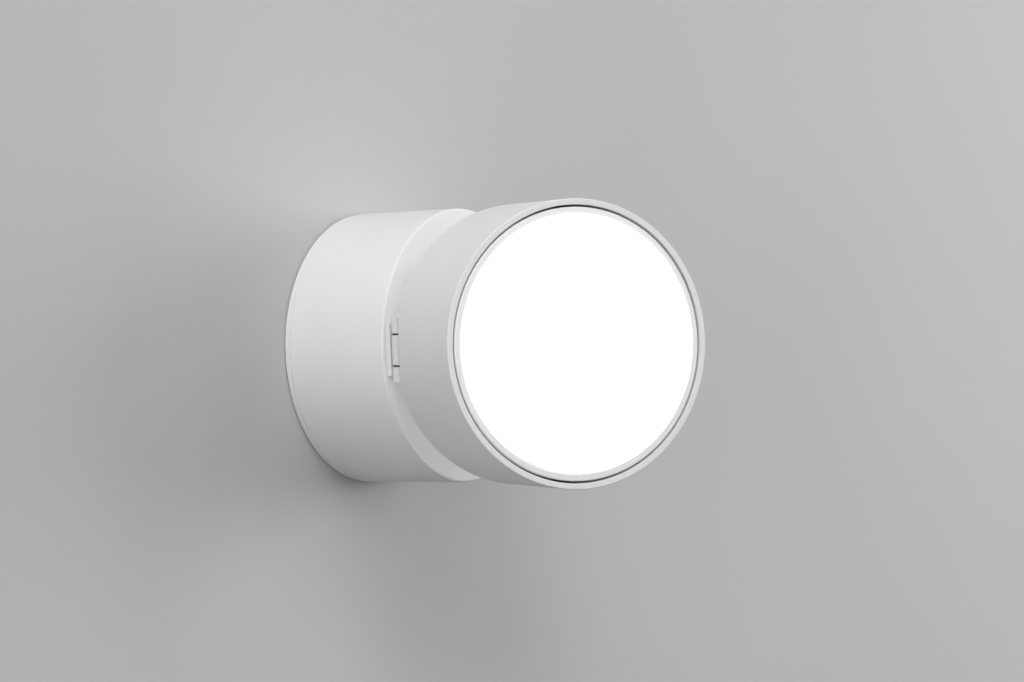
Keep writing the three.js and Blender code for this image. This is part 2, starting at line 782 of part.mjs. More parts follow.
// The light board with its soldered chips in rings, six more in each ring outwards
function lightBoard() {
  const ends = [lightBoardRear - cutOver, lightBoardFront + cutOver];
  const holes = boardScrewPlaces().map(([x, z]) => (
    cylinder(shankRadius + runGap, ...ends, screwSides, x, z)
  ));
  const leadHole = cylinder(grommetBoreRadius, ...ends, screwSides, ...grommetPlace);
  const board = cylinder(lightBoardRadius, lightBoardRear, lightBoardFront, innerSides);
  const half = ledSize / 2;
  const chips = ledPlaces().map(([x, z]) => block(
    [x - half, lightBoardFront - joinDepth, z - half],
    [x + half, lightBoardFront + ledHeight, z + half],
  ));
  return joined([board, ...chips]).subtract(joined([leadHole, ...holes]));
}

// A pan-head screw whose head faces forward
function boardScrew([x, z]) {
  return turned([
    [0, sinkForward],
    [shankRadius, sinkForward],
    [shankRadius, lightBoardFront + runGap],
    [panRadius, lightBoardFront + runGap],
    [panRadius, lightBoardFront + runGap + panHeight - edgeRound],
    [panRadius - edgeRound, lightBoardFront + runGap + panHeight],
    [0, lightBoardFront + runGap + panHeight],
  ], screwSides, x, z);
}

function boardConnector() {
  const half = connectorWidth / 2;
  const z = connectorMargin + connectorHeight - lightBoardRadius + reflectorFloorWidth;
  const rear = lightBoardFront + seatGap;
  const [low, high] = [z - connectorHeight / 2, z + connectorHeight / 2];
  return block([-half, rear, low], [half, rear + connectorDepth, high]);
}

// A conical white ring that leads the light from the board to the diffuser
function reflector() {
  const rear = lightBoardFront + seatGap;
  const front = flangeRear - seatGap;
  const rim = frameInside - seatGap;
  const rimInside = rim - reflectorFloor;
  const inside = reflectorBase - reflectorFloorWidth;
  return turnedRing([
    [inside, rear],
    [reflectorBase, rear],
    [rim, rear + reflectorFloor],
    [rim, front],
    [rimInside, front],
    [inside, rear + reflectorFloor],
  ], innerSides);
}

// The white ring that holds the diffuser, set in from the drum's wall by a narrow groove
function diffuserFrame() {
  const rear = sinkFront + seatGap;
  return turnedRing([
    [frameInside, rear],
    [frameRadius, rear],
    ...quarterRound(frameRadius - frameRound, frameFront - frameRound, frameRound, 0),
    [windowRadius, frameFront],
    [windowRadius, frameFront - frameLipThickness],
    [frameInside, frameFront - frameLipThickness],
  ], drumSides);
}

// The opal window: a shallow dish whose rim is held behind the frame's lip
function diffuser() {
  const radius = windowRadius - diffuserFit;
  const inside = diffuserFront - diffuserThickness;
  const rimInside = flangeRadius - diffuserFlangeWidth;
  return turned([
    [0, inside],
    [rimInside, inside],
    [rimInside, flangeRear],
    [flangeRadius, flangeRear],
    [flangeRadius, flangeFront],
    [radius, flangeFront],
    ...quarterRound(radius - diffuserRound, diffuserFront - diffuserRound, diffuserRound, 0),
    [0, diffuserFront],
  ], drumSides);
}

// The fixed half and the drum that turns on it stand straight out from the wall
const lamp = new THREE.Group();
lamp.add(
  part('wall_plate', whitePaint, wallPlate()),
  part('pivot_sleeve', zincSteel, pivotSleeve()),
  part('disc_spring', blackSteel, discSpring()),
  part('pivot_nut', zincSteel, pivotNut()),
  part('swivel_plate', zincSteel, swivelPlate()),
  part('base_shell', whitePaint, baseShell()),
  part('base_grub_screw_lower', blackSteel, grubScrew(-1)),
  part('base_grub_screw_upper', blackSteel, grubScrew(1)),
  part('terminal_block', whitePlastic, terminalBlock()),
  part('earth_screw', zincSteel, earthScrew()),
  part('driver_case', whitePlastic, driverCase()),
  part('driver_lid', whitePlastic, driverLid()),
  ...driverScrewPlaces().map((x, index) => (
    part(`driver_screw_${index + 1}`, zincSteel, driverScrew(x))
  )),
  part('driver_board', greenBoard, driverBoard()),
  part('driver_transformer', brownFerrite, driverTransformer()),
  part('driver_capacitor_1', blackPlastic, driverCapacitor(-1)),
  part('driver_capacitor_2', blackPlastic, driverCapacitor(1)),
  part('base_grommet', greyRubber, grommet(frontWallInside, baseLength)),
);

// The hinge pin is the origin of both leaves
const hinge = new THREE.Group();
hinge.position.set(hingeInset - bodyRadius, -baseLength - pinForward, 0);
hinge.add(
  part('hinge_base_leaf', whitePaint, hingeBaseLeaf()),
  ...leafScrewHeights().map((z, index) => (
    part(`base_leaf_screw_${index + 1}`, zincSteel, leafScrew(1, z))
  )),
  part('hinge_pin', zincSteel, hingePin()),
);
lamp.add(hinge);

// The head hangs on the pin and is swung open towards the left
const head = new THREE.Group();
head.rotation.z = -THREE.MathUtils.degToRad(openDegrees);
head.add(
  part('hinge_head_leaf', whitePaint, hingeHeadLeaf()),
  ...leafScrewHeights().map((z, index) => (
    part(`head_leaf_screw_${index + 1}`, zincSteel, leafScrew(-1, z))
  )),
  part('hinge_washer_lower', blackPlastic, hingeWasher(-1)),
  part('hinge_washer_upper', blackPlastic, hingeWasher(1)),
);
hinge.add(head);

const drum = new THREE.Group();
drum.position.set(bodyRadius - hingeInset, -pinForward, 0);
drum.add(
  part('head_shell', whitePaint, headShell()),
  part('head_grommet', greyRubber, grommet(0, frontWall)),
  part('heat_sink', bareAluminium, heatSink()),
  ...sinkScrewPlaces().map((place, index) => (
    part(`heat_sink_screw_${index + 1}`, zincSteel, heatSinkScrew(place))
  )),
  part('thermal_pad', greyPad, thermalPad()),
  part('light_board', whiteBoard, lightBoard()),
  ...boardScrewPlaces().map((place, index) => (
    part(`board_screw_${index + 1}`, zincSteel, boardScrew(place))
  )),
  part('board_connector', whitePlastic, boardConnector()),
  part('reflector', whitePlastic, reflector()),
  part('diffuser_frame', whitePlastic, diffuserFrame()),
  part('diffuser', opalPlastic, diffuser()),
);
head.add(drum);

export default lamp;
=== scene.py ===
import math

import bmesh
import bpy
from mathutils import Matrix, Vector


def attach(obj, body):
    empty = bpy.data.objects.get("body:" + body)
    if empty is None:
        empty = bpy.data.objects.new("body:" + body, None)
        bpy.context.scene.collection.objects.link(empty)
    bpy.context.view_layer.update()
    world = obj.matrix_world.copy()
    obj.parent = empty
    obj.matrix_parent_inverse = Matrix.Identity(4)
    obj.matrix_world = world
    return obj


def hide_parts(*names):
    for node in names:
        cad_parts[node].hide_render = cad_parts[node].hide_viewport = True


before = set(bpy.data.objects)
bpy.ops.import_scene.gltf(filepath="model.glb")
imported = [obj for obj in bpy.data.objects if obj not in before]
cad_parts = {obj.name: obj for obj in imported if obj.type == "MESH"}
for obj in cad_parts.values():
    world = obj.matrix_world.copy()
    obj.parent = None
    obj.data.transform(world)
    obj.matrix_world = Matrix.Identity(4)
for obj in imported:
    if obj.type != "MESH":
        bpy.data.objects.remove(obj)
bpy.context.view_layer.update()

# Lengths are in millimetres, and angles in degrees. Forward is -Y, up is +Z and the wall is y = 0.
# An outline that is turned about a drum's axis is a list of points (radius, forward).
MM = 0.001
QUARTER_TURN = 90

# Whole lamp. The radius lies between the corners and the flats of the faceted drums.
BODY_RADIUS = 47.485
BASE_LENGTH = 41.6
HEAD_LENGTH = 42.3
CLOSED_GAP = 7.5
OPEN_ANGLE = 29.6
TUBE_WALL = 2
FRONT_WALL = 3
INNER_RADIUS = BODY_RADIUS - TUBE_WALL
EDGE_ROUND = 0.8
RIM_ROUND = 0.35
MOUTH_ROUND = 0.2
CORNER_ROUND = 0.5

# Clearances and overruns
SEAT_GAP = 0.3
RUN_GAP = 0.15
THREAD_GAP = 0.1
CUT_OVER = 1
JOIN_DEPTH = 0.5

# Facets, and how points, edges and normals are treated
DRUM_SIDES = 256
SMALL_SIDES = 48
GROMMET_SIDES = 64
STOP_PIN_SIDES = 32
HEXAGON_SIDES = 6
BARREL_STEPS = 40
SOFTEN_STEPS = 2
SOFTEN_DOUBLED = 0.0001
SOFTEN_FLAT_ANGLE = 1
DOUBLED = 0.001
SHARP_ANGLE = 35
RELIEF_SHARP_ANGLE = 20
NORMAL_WEIGHT = 80

# Wall plate, and the seam between it and the base drum
PLATE_THICKNESS = 2
PLATE_INSET = 0.2
PLATE_BEVEL = 0.15
SEAM = 0.2
SEAM_ROUND = 0.2
SLEEVE_RADIUS = 8.5
SLOT_SPACING = 60
SLOT_WIDTH = 4.5
SLOT_LENGTH = 10
STOP_PLACE = 25
STOP_PIN_RADIUS = 0.9
STOP_PIN_HEIGHT = 1.4

# Grub screws above and below in the base drum
GRUB_RADIUS = 1.5
GRUB_LENGTH = 5
GRUB_RECESS = 0.5
GRUB_FORWARD = 10
GRUB_TIP = 0.3
GRUB_ROOT_RADIUS = 1.32
GRUB_THREAD_START = 0.4
GRUB_TURNS = 7
GRUB_FACE_RADIUS = 1.4
GRUB_FACE_BEVEL = 0.15
SOCKET_RADIUS = 0.85
SOCKET_DEPTH = 1.4
SOCKET_POINT = 0.3

# Countersunk screws with a cross recess, and their holes
THREAD_STEP = 0.3
SCREW_RADIUS = 1.5
SCREW_ROOT_RADIUS = 1.34
SCREW_TIP_RADIUS = 1.2
SCREW_THREAD_START = 1.45
SCREW_TOP_RADIUS = 1.6
SCREW_SHOULDER_RADIUS = 2.4
SCREW_SHOULDER_DEPTH = 0.04
SCREW_HEAD_RADIUS = 2.65
SCREW_HEAD_EDGE = 0.1
COUNTERSINK_RADIUS = 2.8
COUNTERSINK_DEPTH = 1.3
SCREW_HOLE_RADIUS = SCREW_RADIUS + THREAD_GAP
CROSS_LENGTH = 2.9
CROSS_WIDTH = 0.62
CROSS_DEPTH = 1.6
CROSS_CENTRE = 0.1
CROSS_TURN = 20
LEAF_SCREW_LENGTH = 4
SINK_SCREW_LENGTH = 9
SINK_SCREW_CIRCLE = 9
SINK_SCREW_COUNT = 3

# Hinge. Its own frame has the pin at the origin, and the leaves lie on both sides of it.
HINGE_INSET = 3.4
PIN_FORWARD = CLOSED_GAP / 2
PIN_RADIUS = 1
PIN_BEVEL = 0.2
BARREL_RADIUS = 2
MIDDLE_KNUCKLE = 9.9
OUTER_KNUCKLE = 5
KNUCKLE_SLIT = 0.7
HINGE_HEIGHT = MIDDLE_KNUCKLE + 2 * KNUCKLE_SLIT + 2 * OUTER_KNUCKLE
NECK_SIDE = 1
GUSSET_LENGTH = 5
GUSSET_ANGLE = 315
LEAF_THICKNESS = 1.5
LEAF_FACE = PIN_FORWARD - LEAF_THICKNESS
LEAF_LENGTH = 15
LEAF_ROUND = 0.16
LEAF_SCREW_PLACE = 9
LEAF_SCREW_SPREAD = 10.8
LEAF_SCREW_HEIGHTS = (-LEAF_SCREW_SPREAD / 2, LEAF_SCREW_SPREAD / 2)
BASE_LEAF_HEIGHT = 17.2
BASE_LEAF_LIP = 1.2
STOP_PAD_LENGTH = 2
STOP_PAD_HEIGHT = 8
RELIEF_DEPTH = 4.6
RELIEF_INSET = 2.6
RELIEF_MARGIN = 0.4
RELIEF_HEIGHT = HINGE_HEIGHT + 2 * RELIEF_MARGIN

# Grommets, level with each other and just above the power supply
DRIVER_HEIGHT = 32
GROMMET_INSET = 15
GROMMET_CLEARANCE = 2
GROMMET_BORE_RADIUS = 1.9
GROMMET_BORE_ROUND = 0.3
GROMMET_NECK_RADIUS = 3.6
GROMMET_FLANGE_RADIUS = 5
GROMMET_FLANGE = 1.2
GROMMET_ROUND = 0.8
GROMMET_UP = DRIVER_HEIGHT / 2 + GROMMET_FLANGE_RADIUS + GROMMET_CLEARANCE
GROMMET_PLACE = (-math.sqrt((BODY_RADIUS - GROMMET_INSET) ** 2 - GROMMET_UP ** 2), GROMMET_UP)

# White ring in the head's mouth, which holds the cover
RING_GAP = 0.7
RING_SET_BACK = 0.2
RING_WALL = 1.3
RING_FACE = 2.05
RING_LIP = 1.2
RING_REAR = 22.3
RING_ROUND = 0.5
RING_REAR_BEVEL = 0.1
RING_LIP_ROUND = 0.25
RING_LIP_REAR_ROUND = 0.15
RING_RADIUS = INNER_RADIUS - RING_GAP
RING_FRONT = HEAD_LENGTH - RING_SET_BACK
WINDOW_RADIUS = RING_RADIUS - RING_FACE

# Opal cover with its flange behind the ring's lip. Its glow falls from one strength to the other
# between two radii.
COVER_GAP = 0.2
COVER_RISE = 0.6
COVER_THICKNESS = 1.8
COVER_ROUND = 0.4
COVER_BORDER = 6
COVER_FLANGE_WIDTH = 2
COVER_FLANGE_THICKNESS = 1.3
COVER_FLANGE_ROUND = 0.2
GLOW_RADII = (41.2, 42.8)
GLOW_STRENGTHS = (1.1, 0.28)

# Camera, fitted to the photograph. Its three angles are in radians and its focal length is in pixels.
CAMERA_YAW = 0.976806305
CAMERA_PITCH = -0.0169151368
CAMERA_ROLL = -0.0406450535
CAMERA_PLACE = (-819.298872, -614.867109, 17.7402969)
CAMERA_CLIP = (10, 50000)
FOCAL_PIXELS = 2883.65248
PHOTO_WIDTH = 1024
SENSOR_WIDTH = 36.0

# Wall of the stage. Behind the plate it is open, with a low lip round the hole.
WALL_HOLE_RADIUS = 46.6
WALL_FORWARD = -0.4
WALL_LIP_FORWARD = -0.02
WALL_RING_RADII = (60, 100, 200, 500, 1200, 3000)
WALL_SIDES = 96

# Soft lamps: how far up and round each one stands, and its power in watts
LAMP_DISTANCE = 2200
LAMP_SIZE = 1100
LAMPS = (
    ("right_lamp", 5, 75, 19.6),
    ("front_left_lamp", 35, -45, 13.4),
    ("high_left_lamp", 65, -75, 12.9),
    ("left_lamp", 5, -75, 9.3),
    ("front_right_lamp", 5, 45, 6.7),
    ("high_front_lamp", 35, -15, 5.9),
    ("high_right_lamp", 35, 45, 5.4),
    ("low_front_left_lamp", 5, -45, 4.2),
    ("front_lamp", 5, 15, 3.9),
    ("low_left_lamp", -25, -75, 1.6),
    ("rear_left_lamp", 25, -150, 14.0),
    ("rear_right_lamp", 25, 150, 14.0),
)
WORLD_LIGHT = 0.09
WORLD_LIGHT_COLOR = (1.0, 1.0, 0.995)
WORLD_SEEN = 1.0
WORLD_SEEN_COLOR = (0.50, 0.51, 0.505)


# Places

def metres(*lengths):
    """Lengths in mm as a tuple in metres."""
    return tuple(length * MM for length in lengths)


def moved(x, y, z):
    """A shift by lengths in mm."""
    return Matrix.Translation(Vector((x, y, z)) * MM)


def ring_angles(radius, sides):
    """Angles of evenly spaced points on a ring, in radians. A ring without radius has one point."""
    return [2 * math.pi * i / sides for i in range(sides if radius else 1)]


def on_circle(radius, count):
    """Places (x, z) spaced evenly on a circle about the drum's axis, the first one at the top."""
    return [(radius * math.sin(a), radius * math.cos(a)) for a in ring_angles(radius, count)]


# Each matrix takes a piece from its own frame to its place in the lamp
BASE = Matrix.Identity(4)
BASE_LEAF = moved(HINGE_INSET - BODY_RADIUS, -(BASE_LENGTH + PIN_FORWARD), 0)
HEAD_LEAF = BASE_LEAF @ Matrix.Rotation(-math.radians(OPEN_ANGLE), 4, "Z")
HEAD = HEAD_LEAF @ moved(BODY_RADIUS - HINGE_INSET, -PIN_FORWARD, 0)


# Camera

def make_camera():
    """The camera at the photograph's viewing angle."""
    ahead = Vector((
        math.sin(CAMERA_YAW) * math.cos(CAMERA_PITCH),
        math.cos(CAMERA_YAW) * math.cos(CAMERA_PITCH),
        math.sin(CAMERA_PITCH),
    ))
    level_right = Vector((math.cos(CAMERA_YAW), -math.sin(CAMERA_YAW), 0))
    level_up = level_right.cross(ahead)
    right = math.cos(CAMERA_ROLL) * level_right + math.sin(CAMERA_ROLL) * level_up
    up = math.cos(CAMERA_ROLL) * level_up - math.sin(CAMERA_ROLL) * level_right
    place = Vector(CAMERA_PLACE) * MM
    data = bpy.data.cameras.new("camera")
    data.sensor_fit = "HORIZONTAL"
    data.sensor_width = SENSOR_WIDTH
    data.lens = FOCAL_PIXELS / PHOTO_WIDTH * SENSOR_WIDTH
    data.clip_start, data.clip_end = metres(*CAMERA_CLIP)
    camera = bpy.data.objects.new("camera", data)
    bpy.context.scene.collection.objects.link(camera)
    camera.matrix_world = Matrix((
        (right.x, up.x, -ahead.x, place.x),
        (right.y, up.y, -ahead.y, place.y),
        (right.z, up.z, -ahead.z, place.z),
        (0, 0, 0, 1),
    ))
    bpy.context.scene.camera = camera


# Materials

# Most of a noise's values lie in this range
NOISE_RANGE = (0.3, 0.7)

# Sockets of a node that mixes colours: its factor and both colours, and its result
MIX_INPUTS = (0, 6, 7)
MIX_RESULT = 2


class NodeTree:
    """A short way to write the nodes of a material or a world."""

    def __init__(self, owner):
        owner.use_nodes = True
        self.tree = owner.node_tree
        self.tree.nodes.clear()

    def new(self, kind):
        return self.tree.nodes.new("ShaderNode" + kind)

    def link(self, source, socket):
        self.tree.links.new(source, socket)

    def feed(self, socket, value):
        """Sets a socket to a number or a colour, or links another node's output to it."""
        if isinstance(value, (int, float)):
            socket.default_value = value
        elif isinstance(value, tuple):
            socket.default_value = (*value, 1)
        else:
            self.link(value, socket)

    def math(self, operation, a, b=0):
        node = self.new("Math")
        node.operation = operation
        self.feed(node.inputs[0], a)
        self.feed(node.inputs[1], b)
        return node.outputs[0]

    def mixed_shaders(self, factor, first, second):
        node = self.new("MixShader")
        for socket, source in zip(node.inputs, (factor, first.outputs[0], second.outputs[0])):
            self.link(source, socket)
        return node.outputs[0]


class Finish(NodeTree):
    """A material with one main shader and patterns that follow the object's own coordinates."""

    def __init__(self, name):
        self.material = bpy.data.materials.new(name)
        super().__init__(self.material)
        self.output = self.new("OutputMaterial")
        self.shader = self.new("BsdfPrincipled")
        self.link(self.shader.outputs[0], self.output.inputs["Surface"])
        self.coords = self.new("TexCoord").outputs["Object"]

    def noise(self, scale, detail=2.0, rough=0.5, vector=None):
        """Soft noise with scale cells to the metre."""
        node = self.new("TexNoise")
        node.inputs["Scale"].default_value = scale
        node.inputs["Detail"].default_value = detail
        node.inputs["Roughness"].default_value = rough
        self.link(vector or self.coords, node.inputs["Vector"])
        return node.outputs[0]

    def cells(self, scale, feature="F1"):
        """Distances in a pattern of cells, with scale cells to the metre."""
        node = self.new("TexVoronoi")
        node.feature = feature
        node.inputs["Scale"].default_value = scale
        self.link(self.coords, node.inputs["Vector"])
        return node.outputs["Distance"]

    def stretched(self, x, y, z):
        """The coordinates, each scaled by a share."""
        node = self.new("Mapping")
        node.inputs["Scale"].default_value = (x, y, z)
        self.link(self.coords, node.inputs["Vector"])
        return node.outputs[0]

    def ranged(self, value, source=NOISE_RANGE, to=(0, 1)):
        """Takes a value from one range to another, and holds it there past the ends."""
        node = self.new("MapRange")
        for name, end in zip(("From Min", "From Max", "To Min", "To Max"), (*source, *to)):
            node.inputs[name].default_value = end
        self.link(value, node.inputs["Value"])
        return node.outputs[0]

    def times(self, value, share):
        return self.math("MULTIPLY", value, share)

    def plus(self, a, b):
        return self.math("ADD", a, b)

    def mix(self, factor, first, second):
        """A mixture of two colours."""
        node = self.new("Mix")
        node.data_type = "RGBA"
        for index, value in zip(MIX_INPUTS, (factor, first, second)):
            self.feed(node.inputs[index], value)
        return node.outputs[MIX_RESULT]

    def bump(self, height, depth, strength):
        """A relief of the given depth in mm."""
        node = self.new("Bump")
        node.inputs["Strength"].default_value = strength
        node.inputs["Distance"].default_value = depth * MM
        self.link(height, node.inputs["Height"])
        return node.outputs[0]

    def edges(self, low, high):
        """1 on sharp outer edges and 0 on flat faces."""
        return self.ranged(self.new("NewGeometry").outputs["Pointiness"], source=(low, high))

    def radius(self, place=BASE):
        """Distance in metres from the axis of a drum that stands at place."""
        back = place.inverted()
        own = self.new("Mapping")
        own.inputs["Location"].default_value = back.to_translation()
        own.inputs["Rotation"].default_value = back.to_euler()
        self.link(self.coords, own.inputs["Vector"])
        flat = self.new("VectorMath")
        flat.operation = "MULTIPLY"
        flat.inputs[1].default_value = (1, 0, 1)
        self.link(own.outputs[0], flat.inputs[0])
        length = self.new("VectorMath")
        length.operation = "LENGTH"
        self.link(flat.outputs[0], length.inputs[0])
        return length.outputs["Value"]

    def set(self, **values):
        """Sets or links sockets of the main shader, with _ for each space in their names."""
        for name, value in values.items():
            self.feed(self.shader.inputs[name.replace("_", " ")], value)


def shade(color, times, plus=0):
    """A darker or lighter colour."""
    return tuple(min(1, part * times + plus) for part in color)


def powder_coat(name, color, grain=1.0):
    """Matt white powder coat: an even colour, a fine satin grain and a soft orange peel."""
    m = Finish(name)
    fine = m.noise(scale=2300, rough=0.6)
    peel = m.noise(scale=620, detail=1.5, rough=0.45)
    uneven = m.ranged(m.noise(scale=26), source=(0.35, 0.65))
    tone = m.mix(uneven, shade(color, times=0.982), shade(color, times=1.012))
    tone = m.mix(m.ranged(fine, source=(0.30, 0.42), to=(0.05, 0)), tone, shade(color, times=0.85))
    # Sharp edges are made lighter in patches: a painted highlight.
    patchy = m.ranged(m.noise(scale=300), source=(0.4, 0.62), to=(0, 0.25))
    painted_edge_highlight = m.times(m.edges(low=0.53, high=0.62), patchy)
    height = m.plus(m.times(peel, share=0.7), m.times(fine, share=0.3 * grain))
    m.set(
        Base_Color=m.mix(painted_edge_highlight, tone, shade(color, times=1.06)),
        Roughness=m.ranged(m.noise(scale=480), to=(0.52, 0.64)),
        Specular_IOR_Level=0.4,
        Normal=m.bump(height, depth=0.06, strength=0.35),
    )
    return m.material


def metal(name, color, rough, scratch=0.5, tint=0.12, turned_step=None):
    """Plated or bare metal with fine scratches, dull patches, a painted highlight on sharp edges and any
    turning marks.
    """
    m = Finish(name)
    patches = m.noise(scale=160, detail=3, rough=0.6)
    lines = m.noise(scale=900, rough=0.6, vector=m.stretched(x=1, y=0.06, z=0.35))
    if turned_step:
        rings = m.math("SINE", m.times(m.radius(), 2 * math.pi / (turned_step * MM)))
        lines = m.plus(m.times(rings, share=0.18), lines)
    tone = m.mix(m.ranged(patches), shade(color, times=1 - tint), shade(color, times=1 + tint))
    dull = m.plus(patches, m.times(lines, share=0.5))
    # Sharp edges are made lighter: a painted highlight.
    painted_edge_shine = m.times(m.edges(low=0.52, high=0.6), share=0.5)
    m.set(
        Base_Color=m.mix(painted_edge_shine, tone, shade(color, times=1.35)),
        Metallic=1.0,
        Roughness=m.ranged(dull, source=(0.45, 1.05), to=(rough - 0.09, rough + 0.12)),
        Normal=m.bump(lines, depth=0.02, strength=scratch),
    )
    return m.material


def plastic(name, color, rough, grain=900, tint=0.05, depth=0.03):
    """Moulded plastic with a spark-eroded grain and a painted highlight on its sharp edges."""
    m = Finish(name)
    tone = m.mix(m.ranged(m.noise(scale=60)), shade(color, times=1 - tint), shade(color, times=1 + tint))
    # Sharp edges are made lighter: a painted highlight.
    painted_edge_sheen = m.times(m.edges(low=0.52, high=0.6), share=0.25)
    m.set(
        Base_Color=m.mix(painted_edge_sheen, tone, shade(color, times=1.1, plus=0.02)),
        Roughness=m.ranged(m.noise(scale=grain * 0.7), to=(rough - 0.06, rough + 0.06)),
        Normal=m.bump(m.cells(scale=grain), depth, strength=0.5),
    )
    return m.material


def rubber(name, color, rough):
    """Matt moulded rubber with fine dust on it."""
    m = Finish(name)
    dust = m.noise(scale=420, detail=4, rough=0.65)
    dusty = m.ranged(dust, source=(0.45, 0.75), to=(0, 0.55))
    m.set(
        Base_Color=m.mix(dusty, color, shade(color, times=1.25, plus=0.02)),
        Roughness=m.ranged(dust, to=(rough - 0.05, rough + 0.1)),
        Specular_IOR_Level=0.3,
        Normal=m.bump(m.noise(scale=1500), depth=0.04, strength=0.6),
    )
    return m.material


def opal_lit(name):
    """The opal cover, lit evenly from behind and a little less at its rim."""
    m = Finish(name)
    mottled = m.noise(scale=55)
    rim = m.ranged(m.radius(HEAD), source=metres(*GLOW_RADII), to=GLOW_STRENGTHS)
    m.set(
        Base_Color=m.mix(m.ranged(mottled), (0.86, 0.86, 0.85), (0.90, 0.90, 0.89)),
        Roughness=m.ranged(m.noise(scale=1400), to=(0.34, 0.42)),
        Emission_Color=(1.0, 1.0, 0.995),
        Emission_Strength=m.times(rim, m.ranged(mottled, to=(0.985, 1.015))),
        Normal=m.bump(m.noise(scale=2000), depth=0.02, strength=0.2),
    )
    return m.material


def printed_board(name, color, track):
    """A printed board: solder mask over copper tracks, with a fine weave below."""
    m = Finish(name)
    lines = m.cells(scale=260, feature="DISTANCE_TO_EDGE")
    weave = m.noise(scale=1800, detail=1)
    tone = m.mix(m.ranged(lines, source=(0.02, 0.05), to=(1, 0)), color, track)
    stained = m.ranged(m.noise(scale=90, detail=3), to=(0, 0.2))
    raised = m.times(m.ranged(lines, source=(0, 0.06), to=(1, 0)), share=0.6)
    m.set(
        Base_Color=m.mix(stained, tone, shade(color, times=0.8)),
        Roughness=m.ranged(weave, to=(0.32, 0.46)),
        Normal=m.bump(m.plus(raised, m.times(weave, share=0.2)), depth=0.03, strength=0.6),
    )
    return m.material


def sintered(name):
    """The dark, grainy core of a transformer."""
    m = Finish(name)
    grains = m.cells(scale=1400)
    m.set(
        Base_Color=m.mix(m.ranged(grains, source=(0.1, 0.8)), (0.05, 0.036, 0.03), (0.095, 0.07, 0.055)),
        Roughness=m.ranged(m.noise(scale=700, detail=3), to=(0.6, 0.8)),
        Normal=m.bump(grains, depth=0.04, strength=0.6),
    )
    return m.material


def wall_paint(name):
    """Matt grey wall paint, see-through for the camera from behind."""
    m = Finish(name)
    broad = m.ranged(m.noise(scale=3.2), source=(0.35, 0.65))
    m.set(
        Base_Color=m.mix(broad, (0.539, 0.551, 0.540), (0.559, 0.569, 0.558)),
        Roughness=m.ranged(m.noise(scale=300), to=(0.8, 0.9)),
        Specular_IOR_Level=0.2,
        Normal=m.bump(m.noise(scale=700), depth=0.06, strength=0.25),
    )
    seen = m.new("LightPath").outputs["Is Camera Ray"]
    behind = m.new("NewGeometry").outputs["Backfacing"]
    clear = m.new("BsdfTransparent")
    m.link(m.mixed_shaders(m.times(seen, behind), m.shader, clear), m.output.inputs["Surface"])
    return m.material


WHITE_COAT = powder_coat("white_powder_coat", color=(0.80, 0.81, 0.805))
PLATE_COAT = powder_coat("white_plate_coat", color=(0.80, 0.81, 0.805), grain=1.4)
HINGE_COAT = powder_coat("white_hinge_coat", color=(0.76, 0.77, 0.765), grain=1.2)
ZINC = metal("zinc_plate", color=(0.62, 0.63, 0.64), rough=0.36)
ZINC_TURNED = metal("zinc_turned", color=(0.62, 0.63, 0.64), rough=0.33, scratch=0.6, turned_step=0.22)
BLACK_OXIDE = metal("black_oxide", color=(0.06, 0.06, 0.066), rough=0.45, tint=0.25)
ALUMINIUM = metal("bare_aluminium", color=(0.78, 0.79, 0.80), rough=0.42, scratch=0.6)
WHITE_PLASTIC = plastic("white_plastic", color=(0.80, 0.80, 0.78), rough=0.42)
BLACK_PLASTIC = plastic("black_plastic", color=(0.022, 0.022, 0.024), rough=0.5, tint=0.2)
# The ring's white is lighter than the coat's: painted light from the cover's glow.
RING_PLASTIC = plastic(
    "white_frame_plastic", color=(0.88, 0.885, 0.88), rough=0.45, grain=1500, tint=0.01, depth=0.012
)
GREY_RUBBER = rubber("grey_rubber", color=(0.50, 0.51, 0.50), rough=0.82)
THERMAL_PAD = rubber("thermal_pad", color=(0.26, 0.27, 0.29), rough=0.85)
GREEN_BOARD = printed_board("green_board", color=(0.02, 0.13, 0.05), track=(0.04, 0.22, 0.09))
WHITE_BOARD = printed_board("white_board", color=(0.80, 0.80, 0.78), track=(0.74, 0.74, 0.71))
FERRITE = sintered("ferrite")
OPAL = opal_lit("opal_cover")


# Finishing a piece

def clean(mesh):
    """Joins doubled points, and takes away edges and faces that have no size."""
    bm = bmesh.new()
    bm.from_mesh(mesh)
    bmesh.ops.remove_doubles(bm, verts=bm.verts, dist=DOUBLED * MM)
    bmesh.ops.dissolve_degenerate(bm, edges=bm.edges, dist=DOUBLED * MM)
    bm.to_mesh(mesh)
    bm.free()


def settle(obj, node, body, place, material, sharp=SHARP_ANGLE):
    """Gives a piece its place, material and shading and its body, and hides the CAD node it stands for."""
    mesh = obj.data
    clean(mesh)
    mesh.transform(place)
    mesh.materials.clear()
    mesh.materials.append(material)
    mesh.shade_smooth()
    mesh.set_sharp_from_angle(angle=math.radians(sharp))
    normals = obj.modifiers.new("normals", "WEIGHTED_NORMAL")
    normals.keep_sharp = True
    normals.weight = NORMAL_WEIGHT
    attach(obj, body)
    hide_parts(node)


# Solid shapes

def new_object(name, bm):
    """An object with the faces of bm, pointing out."""
    bmesh.ops.recalc_face_normals(bm, faces=bm.faces)
    mesh = bpy.data.meshes.new(name)
    bm.to_mesh(mesh)
    bm.free()
    obj = bpy.data.objects.new(name, mesh)
    bpy.context.scene.collection.objects.link(obj)
    return obj


